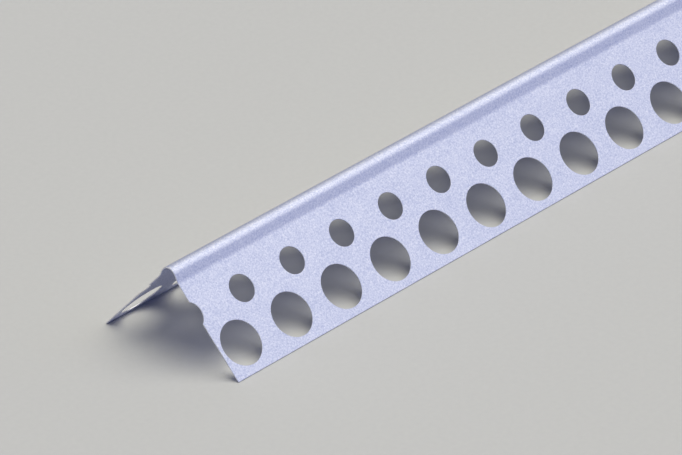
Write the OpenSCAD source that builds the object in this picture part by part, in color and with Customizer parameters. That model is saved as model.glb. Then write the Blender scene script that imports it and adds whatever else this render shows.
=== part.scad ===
// Perforated drywall corner bead: one strip of zinc-coated steel, roll-formed into two legs that
// meet in a raised round nose, and punched with a row of nail holes and a row of keying holes in
// each leg. It stands like a tent on the free edges of its legs, with the nose up.
// X runs along the bead, Y across it and Z up. The origin is on the floor, under the middle.

/* [Stock] */
// Length that the bead is sold in
bead_length = 2440; // [600:5:3050]
// Thickness of the sheet
sheet_thickness = 0.3; // [0.25:0.05:0.6]

/* [Legs] */
// Width of each leg, from the outside of the nose to the free edge
leg_width = 32; // [30:0.5:45]
// Angle between the two legs
leg_angle = 86.5; // [80:0.5:95]

/* [Nose] */
// Outside radius of the nose
nose_radius = 2.4; // [1.8:0.1:3]
// Height of the nose above the outer face of each leg
nose_rise = 0.65; // [0.5:0.05:0.9]
// Angle between the straight flank of the nose and the leg that it runs down to
flank_lean = 16; // [10:0.5:20]
// Outside radius of the bend between the flank and the leg
root_radius = 3.4; // [1.5:0.1:5]

/* [Perforation] */
// Distance from hole to hole along a row
hole_pitch = 17.4; // [15:0.05:30]
// Diameter of the nail holes, beside the nose
nail_hole_d = 7.1; // [3:0.1:8]
// Diameter of the keying holes, beside the free edge
key_hole_d = 11.5; // [6:0.1:12]
// Distance from the outside of the nose to the middle of the nail holes
nail_row = 13.1; // [11:0.1:14]
// Distance from the free edge to the middle of the keying holes
key_row = 7.8; // [7:0.1:9]
// Distance by which the near end is sheared past the middle of a nail hole
shear_offset = 1.85; // [0:0.05:8]

/* [Hidden] */

// Steps in each arc of the section
nose_steps = 18;
root_steps = 8;
// How far a punch passes through the sheet on each side
punch_margin = 1;

half_angle = leg_angle / 2;
// Straight stretch of the flank, which makes up the part of the rise that the two bends leave
flank_length = (nose_rise - (nose_radius + root_radius) * (1 - cos(flank_lean))) / sin(flank_lean);
// Along a leg, from the middle of the nose to the free edge
leg_reach = leg_width - nose_radius;
// Outwards, from the middle of the nose to the two faces of a leg
outer_face = nose_radius - nose_rise;
inner_face = outer_face - sheet_thickness;
// Height of the middle of the nose when the inner corners of the free edges stand on the floor
nose_height = leg_reach * cos(half_angle) - inner_face * sin(half_angle);

// A point of the section on the +Y side, given along the leg and outwards from the middle of the nose
function on_leg(along, out) = [
    along * sin(half_angle) + out * cos(half_angle),
    nose_height - along * cos(half_angle) + out * sin(half_angle)
];

function arc(centre, radius, from, to, steps) = [
    for (i = [0:steps])
        let (angle = from + (to - from) * i / steps)
            centre + radius * [cos(angle), sin(angle)]
];

function mirrored(points) = [for (i = [len(points) - 1:-1:0]) [-points[i][0], points[i][1]]];

// One face of the sheet on the +Y side, from the top of the nose to the free edge.
// The depth is measured inwards from the outer face.
function face_line(depth) =
    let (
        flank = half_angle - flank_lean,
        root_centre = [0, nose_height] + (nose_radius + root_radius) * [cos(flank), sin(flank)]
            + flank_length * [sin(flank), -cos(flank)],
        nose = arc([0, nose_height], nose_radius - depth, 90, flank, nose_steps),
        root = arc(root_centre, root_radius + depth, 180 + flank, 180 + half_angle, root_steps)
    )
    concat(nose, root, [on_leg(leg_reach, outer_face - depth)]);

// The whole of one face, from free edge to free edge
function whole_face(depth) =
    let (side = face_line(depth))
    concat(mirrored(side), [for (i = [1:len(side) - 1]) side[i]]);

function reversed(points) = [for (i = [len(points) - 1:-1:0]) points[i]];

// The roll-formed section, in the plane across the bead
module section() {
    polygon(concat(whole_face(0), reversed(whole_face(sheet_thickness))));
}

// Stands a shape that is drawn in the section's plane along the bead
module along_bead() {
    rotate([90, 0, 90]) children();
}

// A row of punched holes through the +Y leg, with its first hole at a distance from the near end
module punched_row(diameter, along, first) {
    last = floor((bead_length + diameter / 2 - first) / hole_pitch);
    place = on_leg(along, inner_face + sheet_thickness / 2);
    for (i = [0:last])
        translate([first + i * hole_pitch - bead_length / 2, place[0], place[1]])
            rotate([half_angle - 90, 0, 0])
                cylinder(h = sheet_thickness + 2 * punch_margin, d = diameter, center = true, $fn = 48);
}

// Both rows of one leg, with the keying holes half a pitch on from the nail holes
module leg_holes() {
    punched_row(nail_hole_d, nail_row - nose_radius, -shear_offset);
    punched_row(key_hole_d, leg_reach - key_row, hole_pitch / 2 - shear_offset);
}

module corner_bead() {
    color([0.80, 0.81, 0.90])
        difference() {
            along_bead()
                linear_extrude(bead_length, center = true) section();
            leg_holes();
            mirror([0, 1, 0]) leg_holes();
        }
}

corner_bead();
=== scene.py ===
"""Looks of the drywall corner bead: its punched sheet, its zinc finish and a small studio around it."""
import logging
import math
from dataclasses import dataclass, field
from enum import Enum
from typing import Any

import bmesh
import bpy
from mathutils import Matrix, Vector


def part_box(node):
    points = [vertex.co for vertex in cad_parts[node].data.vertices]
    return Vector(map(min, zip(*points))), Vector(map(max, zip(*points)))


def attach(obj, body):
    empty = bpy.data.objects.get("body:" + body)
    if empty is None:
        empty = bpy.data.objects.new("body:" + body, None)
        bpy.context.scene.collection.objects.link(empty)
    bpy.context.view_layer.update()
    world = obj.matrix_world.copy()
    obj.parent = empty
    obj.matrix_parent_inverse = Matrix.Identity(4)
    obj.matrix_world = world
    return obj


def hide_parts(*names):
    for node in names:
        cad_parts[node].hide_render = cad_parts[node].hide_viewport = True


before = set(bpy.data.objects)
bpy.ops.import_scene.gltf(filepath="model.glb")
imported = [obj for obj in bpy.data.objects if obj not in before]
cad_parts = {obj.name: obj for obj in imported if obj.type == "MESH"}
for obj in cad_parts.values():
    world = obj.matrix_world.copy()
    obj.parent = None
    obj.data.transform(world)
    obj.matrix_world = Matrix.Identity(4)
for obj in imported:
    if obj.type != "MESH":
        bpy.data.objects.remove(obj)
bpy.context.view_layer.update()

LOG = logging.getLogger("corner_bead")
MM = 0.001
NODE = "corner_bead"
BODY = "root"
# Mesh points closer than this are one point, and points this near to a cut lie on it, in millimetres
WELD = 1e-3
ON_CUT = 1e-4


class Surface(Enum):
    """The finishes of the bead's mesh, by material index."""

    COATED = 0
    SHEARED = 1


class End(Enum):
    """The two ends of the bead, each with the way that it faces along X."""

    NEAR = -1
    FAR = 1


def srgb(code: str) -> tuple[float, float, float, float]:
    """Turns an sRGB colour into linear values.

    Args:
        code: Six hex digits, such as "CFD3EC".

    Returns:
        Linear red, green and blue, and an alpha of 1.
    """
    channels = [int(code[i:i + 2], 16) / 255 for i in (0, 2, 4)]
    red, green, blue = [c / 12.92 if c <= 0.04045 else ((c + 0.055) / 1.055) ** 2.4 for c in channels]
    return (red, green, blue, 1.0)


def add_node(
    tree: bpy.types.NodeTree,
    kind: str,
    settings: dict[str, Any] | None = None,
    inputs: dict[str | int, Any] | None = None,
) -> bpy.types.Node:
    """Adds a node to a tree, with its settings and links.

    Args:
        tree: The node tree that gets the node.
        kind: The node's type, such as "ShaderNodeBump".
        settings: Values of the node's own properties.
        inputs: Values of its sockets, or the output sockets that are linked to them.

    Returns:
        The new node.
    """
    node = tree.nodes.new(kind)
    for name, value in (settings or {}).items():
        setattr(node, name, value)
    for name, value in (inputs or {}).items():
        if isinstance(value, bpy.types.NodeSocket):
            tree.links.new(value, node.inputs[name])
        else:
            node.inputs[name].default_value = value
    return node


def new_material(name: str) -> tuple[bpy.types.Material, bpy.types.NodeTree]:
    """Makes an empty node material.

    Args:
        name: The material's name.

    Returns:
        The material and its node tree.
    """
    material = bpy.data.materials.new(name)
    material.use_nodes = True
    material.node_tree.nodes.clear()
    return material, material.node_tree


@dataclass(frozen=True)
class ZincCoat:
    """Hot-dip zinc on cold-rolled steel, skin-passed: a pale satin with a fine sandy grain.

    The temper rolls break the zinc's crystals into specks, so light spreads evenly over the flats, and only
    the round of the nose gathers it into a soft line.
    """

    shade: str = "B4BCDE"
    pale: str = "E6E8F8"
    # Zinc specks are a few hundredths of a millimetre: they are drawn coarser, so that they show
    grain_mm: float = 0.42
    grain_depth_mm: float = 0.02
    grain_bump: float = 0.6
    mottle_mm: float = 6.0
    # How much of the tone is mottle, the rest being grain, and the tones that get the two colours
    mottle_share: float = 0.14
    darkest: float = 0.25
    lightest: float = 0.75
    smoothest: float = 0.62
    roughest: float = 0.72

    def material(self) -> bpy.types.Material:
        """Builds the coat's node material.

        Returns:
            The material, whose grain sets colour, roughness and bump together.
        """
        material, tree = new_material("zinc_coat_skin_passed")
        place = add_node(tree, "ShaderNodeTexCoord").outputs["Object"]
        grain = add_node(
            tree, "ShaderNodeTexNoise",
            inputs={"Vector": place, "Scale": 1 / (self.grain_mm * MM), "Detail": 2.0, "Roughness": 0.6},
        )
        mottle = add_node(
            tree, "ShaderNodeTexNoise",
            inputs={"Vector": place, "Scale": 1 / (self.mottle_mm * MM), "Detail": 3.0, "Roughness": 0.6},
        )
        tone = add_node(
            tree, "ShaderNodeMix", {"data_type": "FLOAT"},
            {"Factor": self.mottle_share, 2: grain.outputs["Fac"], 3: mottle.outputs["Fac"]},
        )
        ramp = add_node(tree, "ShaderNodeValToRGB", inputs={"Fac": tone.outputs[0]})
        ramp.color_ramp.elements[0].position = self.darkest
        ramp.color_ramp.elements[0].color = srgb(self.shade)
        ramp.color_ramp.elements[1].position = self.lightest
        ramp.color_ramp.elements[1].color = srgb(self.pale)
        rough = add_node(
            tree, "ShaderNodeMapRange",
            inputs={
                "Value": tone.outputs[0], "From Min": self.darkest, "From Max": self.lightest,
                "To Min": self.roughest, "To Max": self.smoothest,
            },
        )
        bump = add_node(
            tree, "ShaderNodeBump",
            inputs={
                "Height": grain.outputs["Fac"], "Strength": self.grain_bump,
                "Distance": self.grain_depth_mm * MM,
            },
        )
        shader = add_node(
            tree, "ShaderNodeBsdfPrincipled",
            inputs={
                "Base Color": ramp.outputs["Color"], "Metallic": 1.0,
                "Roughness": rough.outputs["Result"], "Normal": bump.outputs["Normal"],
            },
        )
        add_node(tree, "ShaderNodeOutputMaterial", inputs={"Surface": shader.outputs["BSDF"]})
        return material


@dataclass(frozen=True)
class ShearedEdge:
    """Bare steel where the sheet was punched and sheared: bright burnished patches among duller torn ones."""

    burnished: str = "ECECF2"
    torn: str = "C4C6D2"
    tear_mm: float = 0.3
    # Tones of the tear pattern up to which the edge is all torn, and from which it is all burnished
    torn_to: float = 0.35
    burnished_from: float = 0.6
    roughness: float = 0.45

    def material(self) -> bpy.types.Material:
        """Builds the edge's node material.

        Returns:
            The material.
        """
        material, tree = new_material("steel_sheared_edge")
        place = add_node(tree, "ShaderNodeTexCoord").outputs["Object"]
        tear = add_node(
            tree, "ShaderNodeTexNoise",
            inputs={"Vector": place, "Scale": 1 / (self.tear_mm * MM), "Detail": 2.0},
        )
        ramp = add_node(tree, "ShaderNodeValToRGB", inputs={"Fac": tear.outputs["Fac"]})
        ramp.color_ramp.elements[0].position = self.torn_to
        ramp.color_ramp.elements[0].color = srgb(self.torn)
        ramp.color_ramp.elements[1].position = self.burnished_from
        ramp.color_ramp.elements[1].color = srgb(self.burnished)
        shader = add_node(
            tree, "ShaderNodeBsdfPrincipled",
            inputs={"Base Color": ramp.outputs["Color"], "Metallic": 1.0, "Roughness": self.roughness},
        )
        add_node(tree, "ShaderNodeOutputMaterial", inputs={"Surface": shader.outputs["BSDF"]})
        return material


@dataclass(frozen=True)
class StudioPaper:
    """Matt paper that the bead stands on: pale and even, so that it throws soft light back up."""

    colour: str = "BEBFC4"
    fibre: str = "B8B9BF"
    fibre_mm: float = 1.5
    roughness: float = 0.9

    def material(self) -> bpy.types.Material:
        """Builds the paper's node material.

        Returns:
            The material.
        """
        material, tree = new_material("studio_paper_matt")
        place = add_node(tree, "ShaderNodeTexCoord").outputs["Object"]
        fibre = add_node(
            tree, "ShaderNodeTexNoise",
            inputs={"Vector": place, "Scale": 1 / (self.fibre_mm * MM), "Detail": 2.0},
        )
        ramp = add_node(tree, "ShaderNodeValToRGB", inputs={"Fac": fibre.outputs["Fac"]})
        ramp.color_ramp.elements[0].color = srgb(self.fibre)
        ramp.color_ramp.elements[1].color = srgb(self.colour)
        shader = add_node(
            tree, "ShaderNodeBsdfPrincipled",
            inputs={"Base Color": ramp.outputs["Color"], "Roughness": self.roughness},
        )
        add_node(tree, "ShaderNodeOutputMaterial", inputs={"Surface": shader.outputs["BSDF"]})
        return material


@dataclass(frozen=True)
class HoleRow:
    """One row of punched holes, in a band of the leg of its own. Sizes are in millimetres.

    The two bands of a leg meet along one line, and each knows where that is.
    """

    diameter: float
    along: float
    first: float
    band: tuple[float, float]
    meets: float
    sides: int
    count: int


@dataclass
class CornerBead:
    """The punched and roll-formed sheet. Sizes are in millimetres, as in the solid that it stands for.

    The +Y leg is laid out flat first: X along the bead, Y along the leg from the middle of the nose, and Z
    outwards. Its upper border is then rolled into the root bend, the flank and half of the nose, and the
    sheet is folded into place, sheared, mirrored and thickened.
    """

    length: float
    sheet: float = 0.3
    leg_width: float = 32.0
    leg_angle: float = 86.5
    nose_radius: float = 2.4
    nose_rise: float = 0.65
    flank_lean: float = 16.0
    root_radius: float = 3.4
    pitch: float = 17.4
    nail_hole_d: float = 7.1
    key_hole_d: float = 11.5
    nail_row: float = 13.1
    key_row: float = 7.8
    shear_offset: float = 1.85
    # Flat strip beside the root bend that keeps the bend's shading off the punched part
    border: float = 0.9
    # Rounding of the edges that the punch and the shears leave
    edge_round: float = 0.06
    # Edges that turn by more than this stay crisp
    crisp_deg: float = 32.0
    nose_steps: int = 20
    root_steps: int = 8
    nail_sides: int = 28
    key_sides: int = 36
    coat: ZincCoat = field(default_factory=ZincCoat)
    sheared: ShearedEdge = field(default_factory=ShearedEdge)

    @property
    def half_angle(self) -> float:
        """Angle of a leg from the upright, in radians."""
        return math.radians(self.leg_angle / 2)

    @property
    def lean(self) -> float:
        """Angle between the nose's flank and the leg that it runs down to, in radians."""
        return math.radians(self.flank_lean)

    @property
    def flank_length(self) -> float:
        """Straight stretch of the flank, which makes up the part of the rise that the two bends leave."""
        bends = (self.nose_radius + self.root_radius) * (1 - math.cos(self.lean))
        return (self.nose_rise - bends) / math.sin(self.lean)

    @property
    def leg_reach(self) -> float:
        """From the middle of the nose to the free edge, along the leg."""
        return self.leg_width - self.nose_radius

    @property
    def outer_face(self) -> float:
        """From the middle of the nose out to the outer face of a leg."""
        return self.nose_radius - self.nose_rise

    @property
    def nose_height(self) -> float:
        """Height of the middle of the nose above the floor."""
        inner_face = self.outer_face - self.sheet
        return self.leg_reach * math.cos(self.half_angle) - inner_face * math.sin(self.half_angle)

    @property
    def root_end(self) -> float:
        """Where the root bend runs out into the flat of the leg, along the leg."""
        bends = (self.nose_radius + self.root_radius) * math.sin(self.lean)
        return bends + self.flank_length * math.cos(self.lean)

    def rows(self) -> list[HoleRow]:
        """Works out the two rows of holes of a leg.

        Returns:
            The nail row and the keying row, in bands that meet midway between their rims.
        """
        nail = self.nail_row - self.nose_radius
        key = self.leg_reach - self.key_row
        divide = (nail + self.nail_hole_d / 2 + key - self.key_hole_d / 2) / 2
        count = math.ceil((self.length + self.shear_offset) / self.pitch) + 1
        nail_band, key_band = (self.root_end + self.border, divide), (divide, self.leg_reach)
        first_key = self.pitch / 2 - self.shear_offset
        return [
            HoleRow(self.nail_hole_d, nail, -self.shear_offset, nail_band, divide, self.nail_sides, count),
            HoleRow(self.key_hole_d, key, first_key, key_band, divide, self.key_sides, count),
        ]

    def punch_row(self, sheet: bmesh.types.BMesh, row: HoleRow) -> None:
        """Adds a flat band with one row of holes, as one punched pitch repeated along the bead.

        Args:
            sheet: The bmesh of the flat leg.
            row: The row of holes to make.
        """
        low, high = row.band
        half = self.pitch / 2
        middle = row.first - self.length / 2
        hole = bmesh.ops.create_circle(
            sheet, segments=row.sides, radius=row.diameter / 2,
            matrix=Matrix.Translation((middle, row.along, self.outer_face)),
        )["verts"]
        corners = [(-half, low), (half, low), (half, high), (-half, high)]
        # The rows are half a pitch apart, so the line where they meet also has a point mid-pitch
        corners.insert(1 if row.meets == low else 3, (0, row.meets))
        frame_verts = [sheet.verts.new((middle + x, y, self.outer_face)) for x, y in corners]
        next_verts = frame_verts[1:] + frame_verts[:1]
        frame_edges = [sheet.edges.new(pair) for pair in zip(frame_verts, next_verts)]
        hole_edges = list({edge for vert in hole for edge in vert.link_edges})
        filled = bmesh.ops.triangle_fill(
            sheet, use_beauty=True, use_dissolve=False, edges=hole_edges + frame_edges, normal=(0, 0, 1)
        )["geom"]
        pitch_geom = hole + frame_verts + list(set(hole_edges + frame_edges) | set(filled))
        bmesh.ops.spin(
            sheet, geom=pitch_geom, cent=(0, 0, 0), axis=(0, 0, 1), dvec=(self.pitch, 0, 0),
            angle=0, steps=row.count - 1, use_duplicate=True,
        )

    def draw_out(
        self, sheet: bmesh.types.BMesh, line: list[bmesh.types.BMEdge], by: tuple[float, float, float]
    ) -> list[bmesh.types.BMEdge]:
        """Draws a border of the sheet out into a straight strip.

        Args:
            sheet: The bmesh of the leg.
            line: The edges of the border.
            by: The way across the strip.

        Returns:
            The edges of the strip's far side, which is the new border.
        """
        grown = bmesh.ops.extrude_edge_only(sheet, edges=line)["geom"]
        moved = {item for item in grown if isinstance(item, bmesh.types.BMVert)}
        bmesh.ops.translate(sheet, verts=list(moved), vec=by)
        return [
            item for item in grown
            if isinstance(item, bmesh.types.BMEdge) and all(vert in moved for vert in item.verts)
        ]

    def bend(
        self, sheet: bmesh.types.BMesh, line: list[bmesh.types.BMEdge],
        centre: tuple[float, float, float], turn: float, steps: int,
    ) -> list[bmesh.types.BMEdge]:
        """Draws a border of the sheet out into a round bend.

        Args:
            sheet: The bmesh of the leg.
            line: The edges of the border.
            centre: The middle of the bend.
            turn: The angle of the bend, in radians.
            steps: How many strips make up the bend.

        Returns:
            The edges of the bend's far side, which is the new border.
        """
        last = bmesh.ops.spin(
            sheet, geom=line + list({vert for edge in line for vert in edge.verts}),
            cent=centre, axis=(1, 0, 0), angle=turn, steps=steps,
        )["geom_last"]
        return [item for item in last if isinstance(item, bmesh.types.BMEdge)]

    def roll_nose(self, sheet: bmesh.types.BMesh) -> None:
        """Rolls the upper border of the flat leg into the root bend, the flank and half of the nose.

        Args:
            sheet: The bmesh of the flat, punched leg.
        """
        upper = self.root_end + self.border
        line = [
            edge for edge in sheet.edges
            if all(abs(vert.co.y - upper) < WELD for vert in edge.verts)
        ]
        line = self.draw_out(sheet, line, (0, -self.border, 0))
        root_centre = (0, self.root_end, self.outer_face + self.root_radius)
        line = self.bend(sheet, line, root_centre, -self.lean, self.root_steps)
        up_flank = (0, -self.flank_length * math.cos(self.lean), self.flank_length * math.sin(self.lean))
        line = self.draw_out(sheet, line, up_flank)
        top = math.pi - self.half_angle
        flank = math.pi / 2 - self.lean
        self.bend(sheet, line, (0, 0, 0), top - flank, self.nose_steps)

    def fold(self, sheet: bmesh.types.BMesh) -> None:
        """Turns the rolled leg into its place in the tent, shears both ends and mirrors the other leg.

        Args:
            sheet: The bmesh of the rolled leg.
        """
        sine, cosine = math.sin(self.half_angle), math.cos(self.half_angle)
        placed = Matrix((
            (1, 0, 0, 0),
            (0, sine, cosine, 0),
            (0, -cosine, sine, self.nose_height),
            (0, 0, 0, 1),
        ))
        bmesh.ops.transform(sheet, matrix=placed, verts=sheet.verts)
        for end in End:
            bmesh.ops.bisect_plane(
                sheet, geom=sheet.verts[:] + sheet.edges[:] + sheet.faces[:], dist=ON_CUT,
                plane_co=(end.value * self.length / 2, 0, 0), plane_no=(end.value, 0, 0), clear_outer=True,
            )
        bmesh.ops.mirror(
            sheet, geom=sheet.verts[:] + sheet.edges[:] + sheet.faces[:], matrix=Matrix.Identity(4),
            merge_dist=WELD, axis="Y",
        )
        bmesh.ops.remove_doubles(sheet, verts=sheet.verts, dist=WELD)
        bmesh.ops.recalc_face_normals(sheet, faces=sheet.faces)
        # The outer face of the tent looks up
        if sum(face.normal.z * face.calc_area() for face in sheet.faces) < 0:
            bmesh.ops.reverse_faces(sheet, faces=sheet.faces)

    def thicken(self, sheet: bmesh.types.BMesh) -> None:
        """Gives the sheet its thickness, inwards, and rounds the edges that punch and shears leave.

        Args:
            sheet: The bmesh of the whole folded sheet.
        """
        outer = set(sheet.verts)
        bmesh.ops.solidify(sheet, geom=sheet.faces, thickness=self.sheet)
        cut = [
            face for face in sheet.faces
            if 0 < sum(vert in outer for vert in face.verts) < len(face.verts)
        ]
        for face in cut:
            face.material_index = Surface.SHEARED.value
        rims = {
            edge for face in cut for edge in face.edges
            if sum(vert in outer for vert in edge.verts) != 1
        }
        bmesh.ops.bevel(
            sheet, geom=list(rims), offset=self.edge_round, offset_type="OFFSET", segments=1,
            profile=0.5, affect="EDGES", material=-1,
        )

    def build(self) -> bpy.types.Object:
        """Makes the bead's object, dressed, riding on the part's body in place of the plain solid.

        Returns:
            The bead's object.
        """
        sheet = bmesh.new()
        for row in self.rows():
            self.punch_row(sheet, row)
        bmesh.ops.remove_doubles(sheet, verts=sheet.verts, dist=WELD)
        self.roll_nose(sheet)
        self.fold(sheet)
        self.thicken(sheet)
        bmesh.ops.scale(sheet, vec=(MM, MM, MM), verts=sheet.verts)
        mesh = bpy.data.meshes.new("punched_bead")
        sheet.to_mesh(mesh)
        sheet.free()
        mesh.shade_smooth()
        mesh.set_sharp_from_angle(angle=math.radians(self.crisp_deg))
        bead = bpy.data.objects.new("punched_bead", mesh)
        bpy.context.collection.objects.link(bead)
        self.dress(bead)
        return bead

    def dress(self, bead: bpy.types.Object) -> None:
        """Gives the bead its finishes and its place on the part.

        Args:
            bead: The bead's object.
        """
        bead.data.materials.append(self.coat.material())
        bead.data.materials.append(self.sheared.material())
        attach(bead, BODY)
        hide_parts(NODE)


@dataclass(frozen=True)
class SoftLight:
    """A broad soft lamp, so far off that its light is even along the whole bead."""

    name: str
    towards: tuple[float, float, float]
    spread_deg: float
    strength: float
    colour: str = "FFFFFF"

    def build(self) -> bpy.types.Object:
        """Makes the lamp and turns it to shine from its side.

        Returns:
            The lamp's object.
        """
        data = bpy.data.lights.new(self.name, "SUN")
        data.angle = math.radians(self.spread_deg)
        data.energy = self.strength
        data.color = srgb(self.colour)[:3]
        lamp = bpy.data.objects.new(self.name, data)
        lamp.matrix_world = Vector(self.towards).to_track_quat("Z", "Y").to_matrix().to_4x4()
        bpy.context.collection.objects.link(lamp)
        return lamp


@dataclass
class Camera:
    """The photograph's view: a long lens that looks down on the near end, across the front leg."""

    near_end_mm: float
    # What it looks at: how far along from the near end, across and up
    aim_mm: tuple[float, float, float] = (51.01, -7.789, 14.841)
    distance_mm: float = 1438.5
    azimuth_deg: float = 47.073
    elevation_deg: float = 28.899
    roll_deg: float = -1.417
    lens_mm: float = 318.95
    sensor_mm: float = 36.0
    sees_to_m: float = 200.0

    def build(self) -> bpy.types.Object:
        """Makes the camera and hands it to the scene.

        Returns:
            The camera's object.
        """
        data = bpy.data.cameras.new("photo_view")
        data.lens = self.lens_mm
        data.sensor_width = self.sensor_mm
        data.sensor_fit = "HORIZONTAL"
        data.clip_end = self.sees_to_m
        turn, down = math.radians(self.azimuth_deg), math.radians(self.elevation_deg)
        forward = Vector((math.sin(turn) * math.cos(down), math.cos(turn) * math.cos(down), -math.sin(down)))
        level = forward.to_track_quat("-Z", "Y").to_matrix().to_4x4()
        rolled = level @ Matrix.Rotation(math.radians(self.roll_deg), 4, "Z")
        aim = Vector((self.near_end_mm, 0, 0)) + Vector(self.aim_mm)
        place = (aim - forward * self.distance_mm) * MM
        camera = bpy.data.objects.new("photo_view", data)
        camera.matrix_world = Matrix.Translation(place) @ rolled
        bpy.context.collection.objects.link(camera)
        bpy.context.scene.camera = camera
        return camera


@dataclass
class Studio:
    """A pale paper floor, soft lamps and an even room around them."""

    lamps: tuple[SoftLight, ...] = (
        # Overhead, so that the nose catches a soft line
        SoftLight("key_light", (0.2, -0.22, 0.95), 68.0, 3.0, "FFFBE6"),
        # Low in front and cool, for the valley beside the nose
        SoftLight("low_fill_light", (0.4, -0.87, 0.28), 60.0, 0.42, "7C9AFF"),
        # Beyond the near end, for the back leg
        SoftLight("back_light", (-0.7, 0.6, 0.4), 60.0, 0.5),
    )
    floor_m: float = 60.0
    room: str = "D2D9F4"
    room_strength: float = 0.18
    paper: StudioPaper = field(default_factory=StudioPaper)

    def floor(self) -> bpy.types.Object:
        """Lays the paper floor at the bead's own level.

        Returns:
            The floor's object.
        """
        shape = bmesh.new()
        bmesh.ops.create_grid(shape, x_segments=1, y_segments=1, size=self.floor_m / 2)
        mesh = bpy.data.meshes.new("studio_floor")
        shape.to_mesh(mesh)
        shape.free()
        mesh.materials.append(self.paper.material())
        floor = bpy.data.objects.new("studio_floor", mesh)
        bpy.context.collection.objects.link(floor)
        return floor

    def room_light(self) -> None:
        """Fills the room with even light."""
        world = bpy.data.worlds.new("studio_room")
        world.use_nodes = True
        tree = world.node_tree
        tree.nodes.clear()
        glow = add_node(
            tree, "ShaderNodeBackground", inputs={"Color": srgb(self.room), "Strength": self.room_strength}
        )
        add_node(tree, "ShaderNodeOutputWorld", inputs={"Surface": glow.outputs["Background"]})
        bpy.context.scene.world = world

    def build(self) -> None:
        """Sets up the floor, the room and the lamps."""
        self.floor()
        self.room_light()
        for lamp in self.lamps:
            lamp.build()
        bpy.context.scene.view_settings.view_transform = "Standard"


def main() -> None:
    """Builds the bead, the camera and the studio, and reports each piece."""
    logging.basicConfig(level=logging.INFO)
    low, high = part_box(NODE)
    bead = CornerBead(length=(high[0] - low[0]) / MM).build()
    bead.data.calc_loop_triangles()
    LOG.info("%s: %d triangles", bead.name, len(bead.data.loop_triangles))
    camera = Camera(near_end_mm=low[0] / MM).build()
    LOG.info("%s: lens %.0f mm", camera.name, camera.data.lens)
    Studio().build()


if __name__ == "__main__":
    main()
